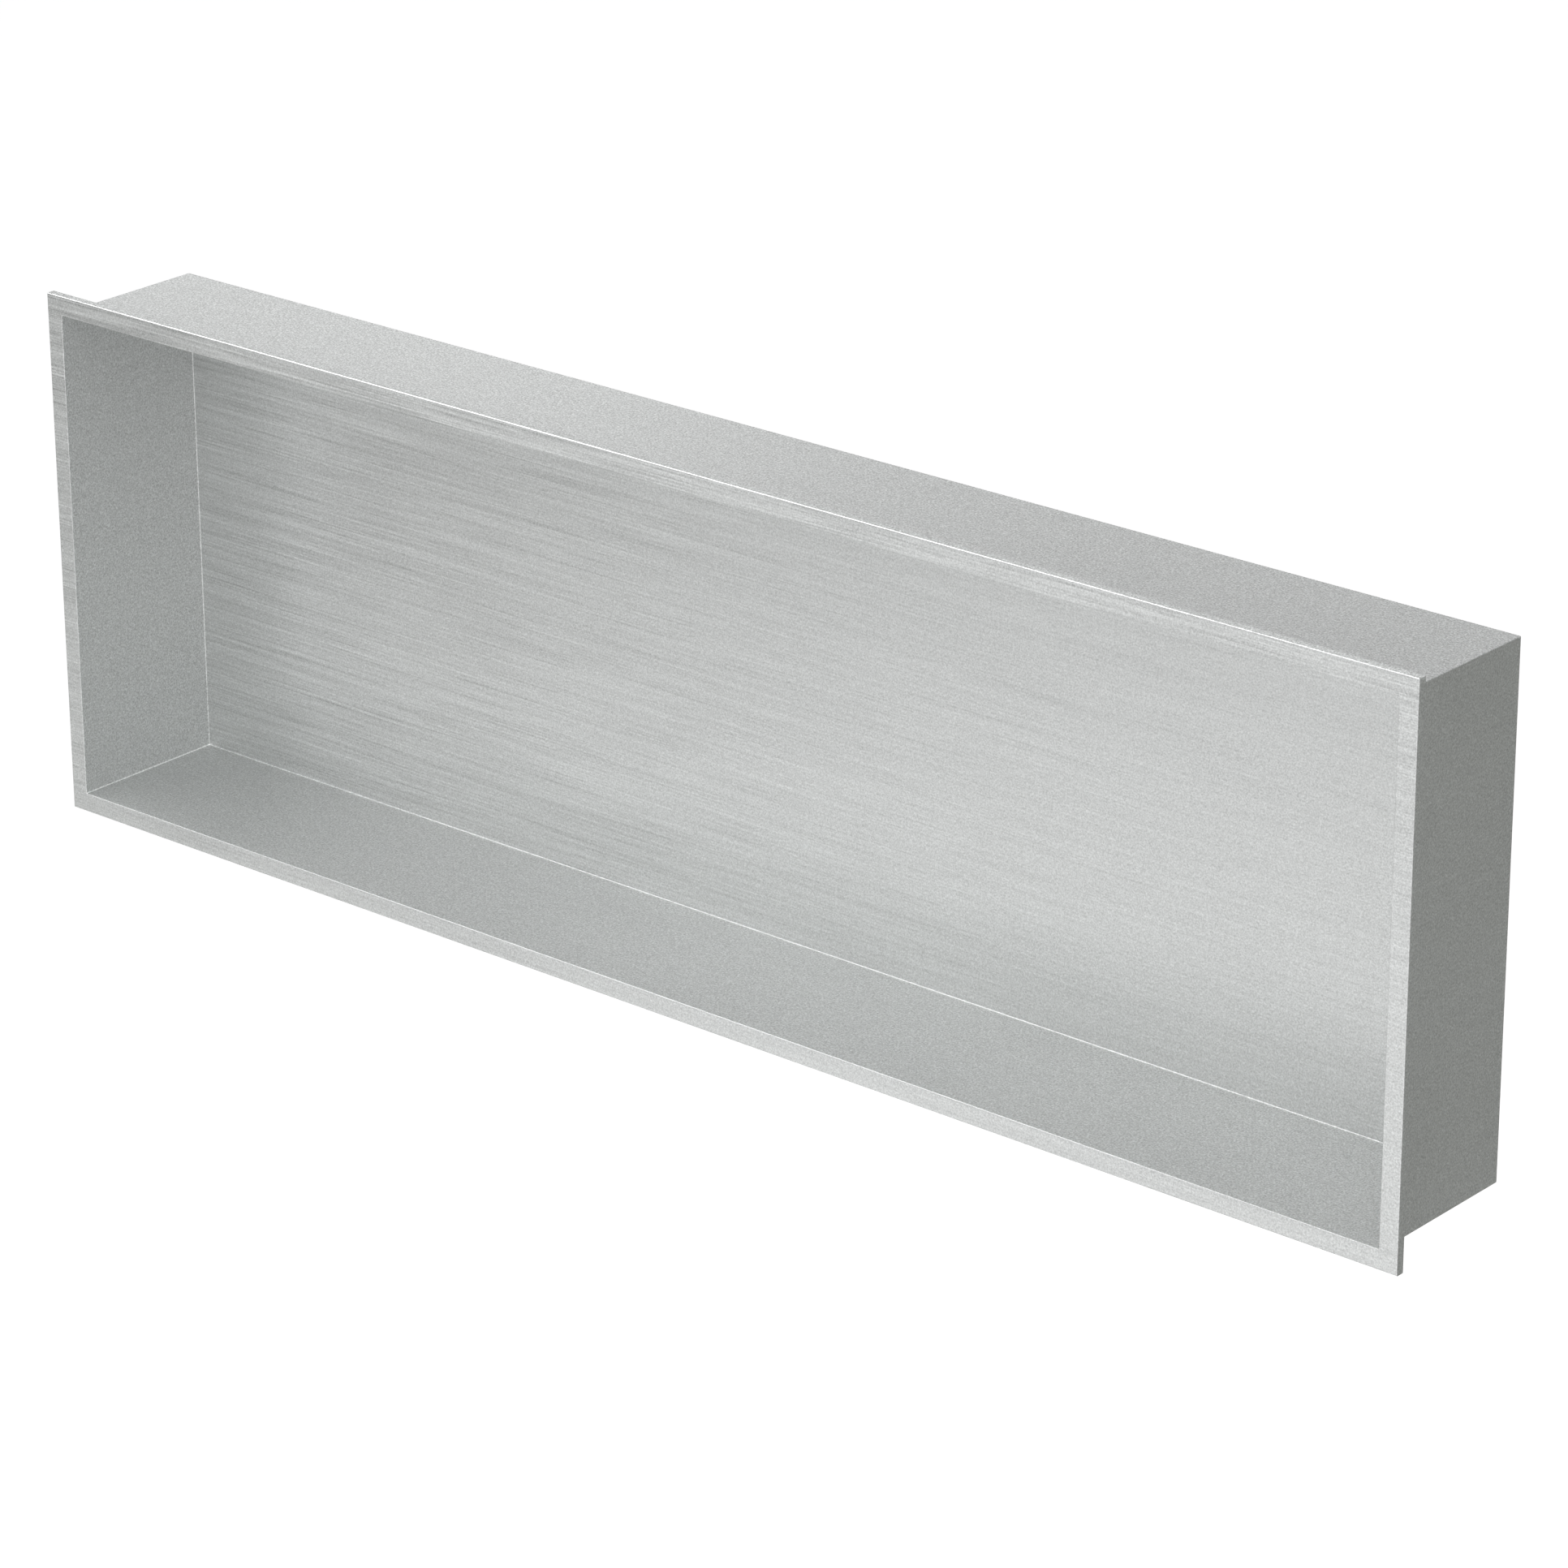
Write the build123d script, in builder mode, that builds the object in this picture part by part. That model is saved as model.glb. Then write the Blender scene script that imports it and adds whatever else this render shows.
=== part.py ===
"""Shower niche insert: a flanged box of folded stainless sheet, let into a tiled wall.

The origin is the centre of the niche on the finished wall. X runs along the width, +Y into the wall
and +Z up, so the flange stands in front of the wall at negative Y and the box lies behind it.
"""

import os

from build123d import *

# Overall size, in millimetres
flange_width = 914.0
flange_height = 305.0
overall_depth = 98.0

# Folded sheet
sheet = 1.0
flange_overhang = 10.0
lip_depth = 5.0

# Rounded edges: the folds outside, the crisper fold round the opening, and the welded corners inside
fold_radius = 0.6
opening_radius = 0.35
corner_radius = 0.6

# Sizes that follow
box_width = flange_width - 2 * flange_overhang
box_height = flange_height - 2 * flange_overhang
opening_width = box_width - 2 * sheet
opening_height = box_height - 2 * sheet
niche_depth = overall_depth - sheet

# Plane of the flange's front face, looking into the wall
front = Plane(origin=(0, -lip_depth, 0), x_dir=(1, 0, 0), z_dir=(0, 1, 0))

with BuildPart() as niche_body:
    # Flange with its edge returned to the wall: a shallow tray, open at the back
    with BuildSketch(front):
        Rectangle(flange_width, flange_height)
    extrude(amount=lip_depth)
    wall_side = niche_body.faces().sort_by(Axis.Y)[-1]
    offset(amount=-sheet, openings=wall_side, kind=Kind.INTERSECTION)

    # Box that goes into the wall
    with BuildSketch(front):
        Rectangle(box_width, box_height)
    extrude(amount=overall_depth)

    # Inside of the niche, open at the front
    with BuildSketch(front):
        Rectangle(opening_width, opening_height)
    extrude(amount=niche_depth, mode=Mode.SUBTRACT)

    # Edges that run into the wall, from left to right: lip, box and niche, then the same mirrored
    depth_edges = niche_body.edges().filter_by(Axis.Y).group_by(Axis.X)
    box_corners = depth_edges[2] + depth_edges[-3]
    niche_corners = depth_edges[3] + depth_edges[-4]

    # Folds outside: the flange's rim, and all round the box
    flange_rim = niche_body.faces().sort_by(Axis.Y)[0].outer_wire().edges()
    box_back = niche_body.faces().sort_by(Axis.Y)[-1].edges()
    fillet(flange_rim + box_back + box_corners, fold_radius)

    # Welded corners inside: round the back panel and out to the front
    niche_back = niche_body.faces().filter_by(Axis.Y).sort_by(Axis.Y)[-2].edges()
    fillet(niche_back + niche_corners, corner_radius)

    # Fold round the opening, where the flange turns into the niche
    opening_rim = niche_body.faces().sort_by(Axis.Y)[0].inner_wires()[0].edges()
    fillet(opening_rim, opening_radius)

niche_body.part.label = "niche_body"

os.makedirs("parts", exist_ok=True)
export_step(niche_body.part, "parts/niche_body.step")
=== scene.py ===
"""Looks of the shower niche insert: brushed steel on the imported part, with studio light, floor and camera.

Everything is in metres in the part's own frame: X along the width, +Y into the wall, +Z up, and the origin
at the centre of the niche on the finished wall.
"""

import math
from types import SimpleNamespace

import bpy
from mathutils import Matrix, Vector


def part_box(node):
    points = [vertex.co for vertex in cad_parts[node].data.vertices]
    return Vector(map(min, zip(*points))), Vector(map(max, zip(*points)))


# Camera: where it stands round the flange's front face, and how it frames it
CAMERA_AZIMUTH = 40.65          # degrees, 0 faces the front and 90 the right end
CAMERA_ELEVATION = 22.18
CAMERA_ROLL = -0.275
CAMERA_DISTANCE = 3.0564        # along the view axis
CAMERA_RIGHT = 0.0565           # the view axis passes this far right of the flange's centre
CAMERA_DOWN = 0.0176            # and this far below it
FOCAL_LENGTH = 137.03           # mm, on a 36 mm sensor
SENSOR_WIDTH = 36.0

# Steel
STEEL_COLOUR = (0.554, 0.563, 0.559)
STEEL_ROUGHNESS = 0.44
STEEL_ANISOTROPY = 0.25

# Layers of noise on the steel
BRUSH_LENGTH = 0.065            # length of a brush line
BRUSH_WIDTH = 0.0009            # and its width
SCRATCH_LENGTH = 0.110          # the fewer, darker lines among them
SCRATCH_WIDTH = 0.0011
SCRATCH_RANGE = (0.58, 0.80)    # noise values where a scratch starts and where it is full
BAND_LENGTH = 0.200             # broader bands of the same brushing
BAND_WIDTH = 0.0050
BAND_SHARE = 0.35               # their depth beside the lines
GRAIN_SIZE = 0.0009             # fine speckle of the satin surface
MOTTLE_SIZE = 0.120             # slow change of tone over a sheet
NOISE_TURN = math.radians(35)   # angle between the faces and the noise's own grid

LINE_TONE = 0.66                # how far each layer moves the steel's tone, either way
SCRATCH_TONE = -0.12
GRAIN_TONE = 0.80
MOTTLE_TONE = 0.05
LINE_ROUGHNESS = 0.15           # and its roughness
GRAIN_ROUGHNESS = 0.15
MOTTLE_ROUGHNESS = 0.08
BUMP_HEIGHT = 0.0002
BUMP_STRENGTH = 0.10
SCRATCH_BUMP = -0.5             # height of a scratch beside the lines
GRAIN_BUMP = 0.3                # and of the grain

# Where the layers are deeper or fainter; the brush lines' depth by place is partly painted light
FACE_LIMITS = (0.6, 0.8)        # a normal's share of an axis, from no face of that axis to a full one
FADE_START = -0.35              # the back panel's brush lines are deepest left of here, partly as painted light
FADE_END = 0.25                 # and faintest right of here
FADED_LINES = 0.35              # its depth there
FLANGE_SLANT = 0.2              # the flange's is deepest at its top left, along a slant of this slope, partly as painted light
FLANGE_TOP = (0.24, 1.5)        # place up that slant, and depth there
FLANGE_BOTTOM = (-0.15, 0.45)
SIDE_LINES = 0.15               # depth on the faces that run into the wall
SIDE_GRAIN = 1.5                # strength of the grain on those faces in the niche,
TOP_GRAIN = 2.0                 # outside on the box's top and underside
END_GRAIN = 1.2                 # and outside on its ends
SEAM_HIGHLIGHT_TONE = 0.30                # painted highlight: the inside corners' fillets are made this much brighter in colour
OPENING_SIDE = 0.4462           # what lies beyond this on either side is outside the niche
OPENING_TOP = 0.142             # and so is what lies beyond this above or below

# Stage
WHITE = (1, 1, 1, 1)
FLOOR_DROP = 1.35               # the insert is held in a wall this far above the floor
FLOOR_SIZE = 40.0
FLOOR_COLOUR = (0.80, 0.80, 0.80)
FLOOR_GLOW = 0.60               # added for camera, mirror and see-through rays, so that the floor is white
AMBIENT = 0.5                   # the world's strength as a lamp; it is 1, white, where it is seen

# Softboxes: where each one stands, the point that it faces, its width, height and power in watts
SOFTBOXES = {
    "key_softbox": ((-0.95, -0.36, 1.12), (0, 0, 0), 1.1, 0.9, 16.0),
    "fill_softbox": ((1.00, -0.73, 0.94), (0, 0, 0), 1.1, 1.1, 17.5),
    "top_softbox": ((-0.60, 0.30, 0.70), (-0.2, 0.05, 0.15), 0.6, 0.6, 0.42),
    "front_softbox": ((-0.10, -0.75, 1.10), (0, 0, 0), 0.8, 0.6, 3.0),
    "left_softbox": ((-0.85, -1.05, 0.12), (-0.3, 0.09, 0), 0.6, 0.6, 0.58),
    "low_softbox": ((-0.50, -0.42, -0.42), (-0.1, 0, -0.1), 1.4, 0.4, 0.38),
    "low_right_softbox": ((0.45, -0.70, -0.45), (0.1, 0.09, -0.05), 0.6, 0.4, 0.40),
    "side_softbox": ((-0.95, -0.28, -0.28), (-0.45, 0, -0.1), 0.4, 0.4, 0.14),
}

# Grey cards behind the lamps, which only the steel reflects: each one's azimuths, elevations and colour
CARDS = {
    "right_card": ((72, 158), (-42, 30), (0.465, 0.474, 0.454)),
    "back_card": ((150, 270), (35, 69), (0.76, 0.76, 0.76)),
    "left_card": ((-112, -52), (-38, -4), (0.36, 0.367, 0.351)),
    "front_card": ((-112, 8), (2, 30), (0.51, 0.51, 0.51)),
}
CARD_DISTANCE = 1.9
CARD_STEPS = 8

# Flag that stands behind the flange's top edge and keeps the lamps in front off the box's top
FLAG_WIDTH = 1.2
FLAG_HEIGHT = 0.30
FLAG_OVERLAP = 0.001            # it starts this far below the flange's top edge
FLAG_SIDES = {                  # each side's place behind the lip's rear edge, and its colour
    "flag_front": (0.001, (0.66, 0.66, 0.66)),
    "flag_rear": (0.002, (0.95, 0.95, 0.95)),
}


class Nodes:
    """A short way to write a node tree: each call adds a node and returns its first output."""

    def __init__(self, tree):
        self.tree = tree
        tree.nodes.clear()

    def add(self, kind, inputs=None, output=0, **settings):
        node = self.tree.nodes.new(kind)
        for name, value in settings.items():
            setattr(node, name, value)
        for name, value in (inputs or {}).items():
            self.feed(node.inputs[name], value)
        return node.outputs[output] if node.outputs else node

    def feed(self, socket, value):
        if isinstance(value, bpy.types.NodeSocket):
            self.tree.links.new(value, socket)
        else:
            socket.default_value = value

    def math(self, operation, a, b=0.0, clamp=False):
        return self.add("ShaderNodeMath", {0: a, 1: b}, operation=operation, use_clamp=clamp)

    def vector(self, operation, a, b):
        return self.add("ShaderNodeVectorMath", {0: a, 1: b}, operation=operation)

    def split(self, vector):
        """The three outputs X, Y and Z."""
        return self.add("ShaderNodeSeparateXYZ", {0: vector}).node.outputs

    def scaled(self, value, amount):
        return self.math("MULTIPLY", value, amount)

    def centred(self, noise):
        """Noise, which lies about 0.5, moved to lie about 0."""
        return self.math("SUBTRACT", noise, 0.5)

    def total(self, first, *others):
        for other in others:
            first = self.math("ADD", first, other)
        return first

    def blend(self, share, a, b):
        """a where share is 0, b where it is 1, for numbers."""
        return self.add("ShaderNodeMix", {0: share, 2: a, 3: b}, data_type="FLOAT")

    def blend_vectors(self, share, a, b):
        return self.add("ShaderNodeMix", {0: share, 4: a, 5: b}, output=1, data_type="VECTOR")

    def remap(self, value, low, high, to_low=0.0, to_high=1.0):
        names = ("Value", "From Min", "From Max", "To Min", "To Max")
        return self.add("ShaderNodeMapRange", dict(zip(names, (value, low, high, to_low, to_high))))

    def noise(self, vector, detail, roughness=0.5):
        sockets = {"Vector": vector, "Scale": 1.0, "Detail": detail, "Roughness": roughness}
        return self.add("ShaderNodeTexNoise", sockets, noise_dimensions="3D")


def new_material(name):
    material = bpy.data.materials.new(name)
    material.use_nodes = True
    return material, Nodes(material.node_tree)


def read_surface(n):
    """What the steel's layers depend on: the place on the part, the normal and the kind of face."""
    place = n.add("ShaderNodeTexCoord", output="Object")
    normal = n.add("ShaderNodeNewGeometry", output="Normal")
    x, y, z = n.split(place)
    facing_x, facing_y, facing_z = n.split(n.vector("ABSOLUTE", normal, (0, 0, 0)))
    return SimpleNamespace(
        place=place, x=x, y=y, z=z,
        normal=normal, facing_x=facing_x, facing_z=facing_z,
        end_wall=n.remap(facing_x, *FACE_LIMITS),
        front_or_back=n.remap(facing_y, *FACE_LIMITS),
        between_ends=n.math("LESS_THAN", n.math("ABSOLUTE", x), OPENING_SIDE),
        between_levels=n.math("LESS_THAN", n.math("ABSOLUTE", z), OPENING_TOP),
    )


def steel_layers(n, at):
    # Noise is even only across its own grid, so the faces are turned away from it
    def turned(vector, axis):
        return n.add("ShaderNodeVectorRotate", {"Vector": vector, "Angle": NOISE_TURN}, rotation_type=axis)

    # The sheet is brushed along its width; its ends are folded up, so there the brushing runs into the wall
    def brushing(length, width):
        along_x = n.vector("DIVIDE", turned(at.place, "X_AXIS"), (length, width, width))
        along_y = n.vector("DIVIDE", turned(at.place, "Y_AXIS"), (width, length, width))
        return n.blend_vectors(at.end_wall, along_x, along_y)

    scratches = n.noise(brushing(SCRATCH_LENGTH, SCRATCH_WIDTH), detail=0.0)
    off_grid = turned(turned(at.place, "X_AXIS"), "Y_AXIS")
    return SimpleNamespace(
        lines=n.noise(brushing(BRUSH_LENGTH, BRUSH_WIDTH), detail=2.0, roughness=0.6),
        scratches=n.remap(scratches, *SCRATCH_RANGE),
        bands=n.noise(brushing(BAND_LENGTH, BAND_WIDTH), detail=1.0),
        grain=n.noise(n.vector("DIVIDE", off_grid, (GRAIN_SIZE,) * 3), detail=1.0),
        mottle=n.noise(n.vector("DIVIDE", at.place, (MOTTLE_SIZE,) * 3), detail=2.0),
    )


def brushing_and_sheen_depth(n, at):
    """Depth of the brush lines, which is 1 at the left of the back panel; the brushing is real, and its
    fading across the back panel and the flange is painted light.
    """
    slant = n.math("SUBTRACT", at.z, n.scaled(at.x, FLANGE_SLANT))
    on_flange = n.remap(slant, FLANGE_BOTTOM[0], FLANGE_TOP[0], FLANGE_BOTTOM[1], FLANGE_TOP[1])
    on_back = n.remap(at.x, FADE_START, FADE_END, 1.0, FADED_LINES)
    on_front = n.blend(n.math("LESS_THAN", at.y, 0.0), on_back, on_flange)
    return n.blend(at.front_or_back, SIDE_LINES, on_front)


def grain_depth(n, at):
    """Strength of the grain, which is 1 on the front and back faces."""
    on_end = n.blend(at.between_ends, END_GRAIN, SIDE_GRAIN)
    on_level = n.blend(at.between_levels, TOP_GRAIN, SIDE_GRAIN)
    return n.blend(at.front_or_back, n.blend(at.end_wall, on_level, on_end), 1.0)


def painted_corner_highlight(n, at):
    """Painted highlight along the inside corners, where an end wall turns into the floor or the ceiling:
    brightest halfway round.
    """
    # A unit normal's two parts multiply to 0.5 halfway round, and to 0 on either wall
    turning = n.remap(n.math("MULTIPLY", at.facing_x, at.facing_z), 0.0, 0.5, 0.0, SEAM_HIGHLIGHT_TONE)
    return n.math("MULTIPLY", turning, at.between_ends)


def brushed_steel():
    material, n = new_material("brushed_steel")
    at = read_surface(n)
    layers = steel_layers(n, at)
    # The brush lines' depth is real brushing, deepened in some places and faded in others as painted light.
    depth = brushing_and_sheen_depth(n, at)
    brush = n.scaled(n.total(n.centred(layers.lines), n.scaled(n.centred(layers.bands), BAND_SHARE)), depth)
    scratch = n.scaled(layers.scratches, depth)
    speckle = n.scaled(n.centred(layers.grain), grain_depth(n, at))
    mottle = n.centred(layers.mottle)

    # The tone carries a painted highlight along the inside corners of the niche.
    tone = n.total(n.scaled(brush, LINE_TONE), n.scaled(scratch, SCRATCH_TONE), n.scaled(speckle, GRAIN_TONE),
                   n.scaled(mottle, MOTTLE_TONE), painted_corner_highlight(n, at), 1.0)
    colour = n.add("ShaderNodeVectorMath", {0: STEEL_COLOUR, "Scale": tone}, operation="SCALE")
    rough = n.total(n.scaled(brush, LINE_ROUGHNESS), n.scaled(speckle, GRAIN_ROUGHNESS),
                    n.scaled(mottle, MOTTLE_ROUGHNESS), STEEL_ROUGHNESS)
    height = n.total(brush, n.scaled(scratch, SCRATCH_BUMP), n.scaled(speckle, GRAIN_BUMP))
    bump = n.add("ShaderNodeBump", {"Strength": BUMP_STRENGTH, "Distance": BUMP_HEIGHT, "Height": height})

    # Brushing spreads a reflection across the lines, so the tangent lies across them
    brush_line = n.blend_vectors(at.end_wall, (1, 0, 0), (0, 1, 0))
    across = n.vector("CROSS_PRODUCT", at.normal, brush_line)

    shader = n.add("ShaderNodeBsdfPrincipled", {
        "Base Color": colour,
        "Metallic": 1.0,
        "Roughness": rough,
        "Anisotropic": STEEL_ANISOTROPY,
        "Normal": bump,
        "Tangent": across,
    })
    n.add("ShaderNodeOutputMaterial", {"Surface": shader})
    return material


def dress(frame):
    steel = brushed_steel()
    for node in frame["nodes"].values():
        node.data.materials.clear()
        node.data.materials.append(steel)


def seen_directly(n):
    """1 for camera, mirror and see-through rays, 0 for the rays that only light things."""
    rays = n.add("ShaderNodeLightPath").node.outputs
    seen = n.math("ADD", rays["Is Camera Ray"], rays["Is Glossy Ray"])
    return n.math("ADD", seen, rays["Is Transmission Ray"], clamp=True)


def make_floor():
    bpy.ops.mesh.primitive_plane_add(size=FLOOR_SIZE, location=(0, 0, -FLOOR_DROP))
    floor = bpy.context.object
    floor.name = "floor"
    material, n = new_material("pale_floor")
    diffuse = n.add("ShaderNodeBsdfDiffuse", {"Color": (*FLOOR_COLOUR, 1)})
    glow = n.scaled(seen_directly(n), FLOOR_GLOW)
    white = n.add("ShaderNodeEmission", {"Color": WHITE, "Strength": glow})
    n.add("ShaderNodeOutputMaterial", {"Surface": n.add("ShaderNodeAddShader", {0: diffuse, 1: white})})
    floor.data.materials.append(material)


def make_world():
    world = bpy.data.worlds.new("studio")
    world.use_nodes = True
    n = Nodes(world.node_tree)
    strength = n.blend(seen_directly(n), AMBIENT, 1.0)
    background = n.add("ShaderNodeBackground", {"Color": WHITE, "Strength": strength})
    n.add("ShaderNodeOutputWorld", {"Surface": background})
    bpy.context.scene.world = world


def facing_matrix(place, aim):
    """Puts a lamp at place with its front, which is its -Z axis, towards aim."""
    turn = (Vector(aim) - Vector(place)).to_track_quat("-Z", "Y")
    return Matrix.Translation(place) @ turn.to_matrix().to_4x4()


def make_softbox(name, place, aim, width, height, power):
    lamp = bpy.data.lights.new(name, "AREA")
    lamp.shape = "RECTANGLE"
    lamp.size, lamp.size_y = width, height
    lamp.energy = power
    box = bpy.data.objects.new(name, lamp)
    box.matrix_world = facing_matrix(place, aim)
    bpy.context.scene.collection.objects.link(box)
    box.visible_camera = False


def towards(azimuth, elevation, distance):
    """The point at that bearing and distance from the origin; azimuth 0 is the front, 90 the right."""
    a, e = math.radians(azimuth), math.radians(elevation)
    flat = distance * math.cos(e)
    return Vector((flat * math.sin(a), -flat * math.cos(a), distance * math.sin(e)))


def add_card(name, points, faces, colour):
    """A plain card, which only the steel's reflections see."""
    mesh = bpy.data.meshes.new(name)
    mesh.from_pydata(points, [], faces)
    material, n = new_material(name)
    shader = n.add("ShaderNodeBsdfDiffuse", {"Color": (*colour, 1)})
    n.add("ShaderNodeOutputMaterial", {"Surface": shader})
    mesh.materials.append(material)
    card = bpy.data.objects.new(name, mesh)
    bpy.context.scene.collection.objects.link(card)
    card.visible_camera = False
    card.visible_diffuse = False
    return card


def make_card(name, azimuths, elevations, colour):
    """A card that is curved round the insert, and lets the lamps shine through."""
    def steps(ends):
        return [ends[0] + (ends[1] - ends[0]) * i / CARD_STEPS for i in range(CARD_STEPS + 1)]

    row = CARD_STEPS + 1
    points = [towards(a, e, CARD_DISTANCE) for e in steps(elevations) for a in steps(azimuths)]
    corners = [row * i + j for i in range(CARD_STEPS) for j in range(CARD_STEPS)]
    card = add_card(name, points, [(c, c + 1, c + row + 1, c + row) for c in corners], colour)
    card.visible_shadow = False


def make_flag(flange_top):
    """Two upright cards back to back, which do shade the top of the box."""
    left, right = -FLAG_WIDTH / 2, FLAG_WIDTH / 2
    low = flange_top - FLAG_OVERLAP
    high = low + FLAG_HEIGHT
    outline = ((left, low), (right, low), (right, high), (left, high))
    for name, (place, colour) in FLAG_SIDES.items():
        add_card(name, [(x, place, z) for x, z in outline], [(0, 1, 2, 3)], colour)


def make_camera(flange_front):
    back = towards(CAMERA_AZIMUTH, CAMERA_ELEVATION, 1.0)
    right = Vector((0, 0, 1)).cross(back).normalized()
    up = back.cross(right)
    roll = math.radians(CAMERA_ROLL)
    right, up = (math.cos(roll) * right + math.sin(roll) * up, math.cos(roll) * up - math.sin(roll) * right)
    centre = Vector((0, flange_front, 0))
    place = centre + back * CAMERA_DISTANCE + right * CAMERA_RIGHT - up * CAMERA_DOWN

    data = bpy.data.cameras.new("camera")
    data.sensor_width = SENSOR_WIDTH
    data.lens = FOCAL_LENGTH
    camera = bpy.data.objects.new("camera", data)
    camera.matrix_world = Matrix.Translation(place) @ Matrix((right, up, back)).transposed().to_4x4()
    bpy.context.scene.collection.objects.link(camera)
    bpy.context.scene.camera = camera


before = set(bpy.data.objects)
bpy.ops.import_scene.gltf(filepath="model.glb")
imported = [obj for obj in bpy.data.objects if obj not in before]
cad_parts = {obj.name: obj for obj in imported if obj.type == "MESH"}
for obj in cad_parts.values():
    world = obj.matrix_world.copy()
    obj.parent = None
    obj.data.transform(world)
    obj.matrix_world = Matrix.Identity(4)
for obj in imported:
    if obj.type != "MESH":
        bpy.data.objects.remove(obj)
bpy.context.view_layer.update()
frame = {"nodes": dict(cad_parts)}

bpy.context.scene.view_settings.view_transform = "Standard"
dress(frame)
make_floor()
make_world()
for name, settings in SOFTBOXES.items():
    make_softbox(name, *settings)
for name, settings in CARDS.items():
    make_card(name, *settings)
lowest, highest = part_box("niche_body")
make_flag(flange_top=highest.z)
make_camera(flange_front=lowest.y)
